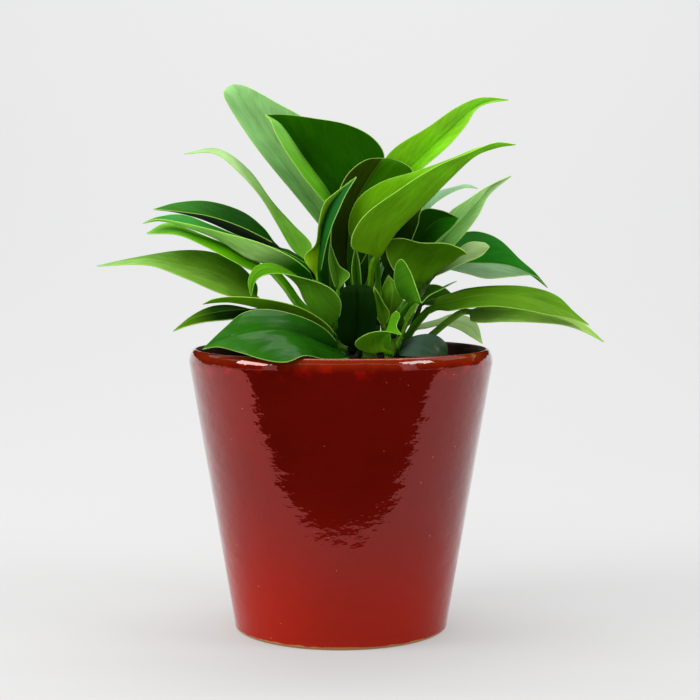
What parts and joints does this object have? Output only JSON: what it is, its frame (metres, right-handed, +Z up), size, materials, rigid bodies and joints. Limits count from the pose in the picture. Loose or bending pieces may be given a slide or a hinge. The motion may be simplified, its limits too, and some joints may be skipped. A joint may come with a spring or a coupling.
{
  "type": "potted philodendron",
  "caption": "Young philodendron with long glossy lance-shaped leaves in a tapered red glazed cover pot.",
  "frame": {"origin": "centre of the pot's foot, on the surface that it stands on", "axes": "+Z up along the pot's axis, -Y towards the front, +X to the front's right"},
  "size_m": [0.2294, 0.1727, 0.253],
  "materials": {
    "pot_glaze": "gloss",
    "potting_mix": "matte",
    "crown_stem": "satin",
    "leaf_young": "gloss",
    "leaf_green": "gloss",
    "leaf_dark": "gloss",
    "leaf_pale": "satin"
  },
  "bodies": {
    "root": {"pot": "pot_glaze", "potting_mix": "potting_mix", "crown_stem_left": "crown_stem", "crown_stem_middle": "crown_stem", "crown_stem_right": "crown_stem", "leaf_left_bright": "leaf_young", "leaf_front_curled": "leaf_young", "leaf_right_lance": "leaf_young", "leaf_right_top": "leaf_young", "leaf_front_young": "leaf_young", "leaf_front_bright": "leaf_young", "leaf_centre_new": "leaf_young", "leaf_right_spear": "leaf_young", "leaf_left_long": "leaf_green", "leaf_left_far": "leaf_green", "leaf_front_rim": "leaf_green", "leaf_right_blue": "leaf_green", "leaf_front_fold": "leaf_green", "leaf_right_long": "leaf_green", "leaf_right_under": "leaf_green", "leaf_front_narrow": "leaf_green", "leaf_rear_left": "leaf_green", "leaf_rear_middle": "leaf_green", "leaf_rear_right": "leaf_green", "leaf_rear_rim_right": "leaf_green", "leaf_top_broad": "leaf_dark", "leaf_left_upper": "leaf_dark", "leaf_left_slim": "leaf_dark", "leaf_left_small": "leaf_dark", "leaf_centre_spear": "leaf_dark", "leaf_centre_dark": "leaf_dark", "leaf_right_shaded": "leaf_dark", "leaf_centre_shaded": "leaf_dark", "leaf_right_fold": "leaf_dark", "leaf_right_tucked": "leaf_dark", "leaf_front_right_low": "leaf_dark", "leaf_front_hood": "leaf_dark", "leaf_centre_sheath": "leaf_dark", "leaf_rear_low": "leaf_dark", "leaf_rear_rim_left": "leaf_dark", "leaf_rear_upright_left": "leaf_dark", "leaf_rear_upright_middle": "leaf_dark", "leaf_back_tall": "leaf_pale", "leaf_left_ribbon": "leaf_pale", "leaf_back_right_small": "leaf_pale", "leaf_right_striped": "leaf_pale", "leaf_right_pale": "leaf_pale", "leaf_right_back_low": "leaf_pale"}
  },
  "joints": []
}
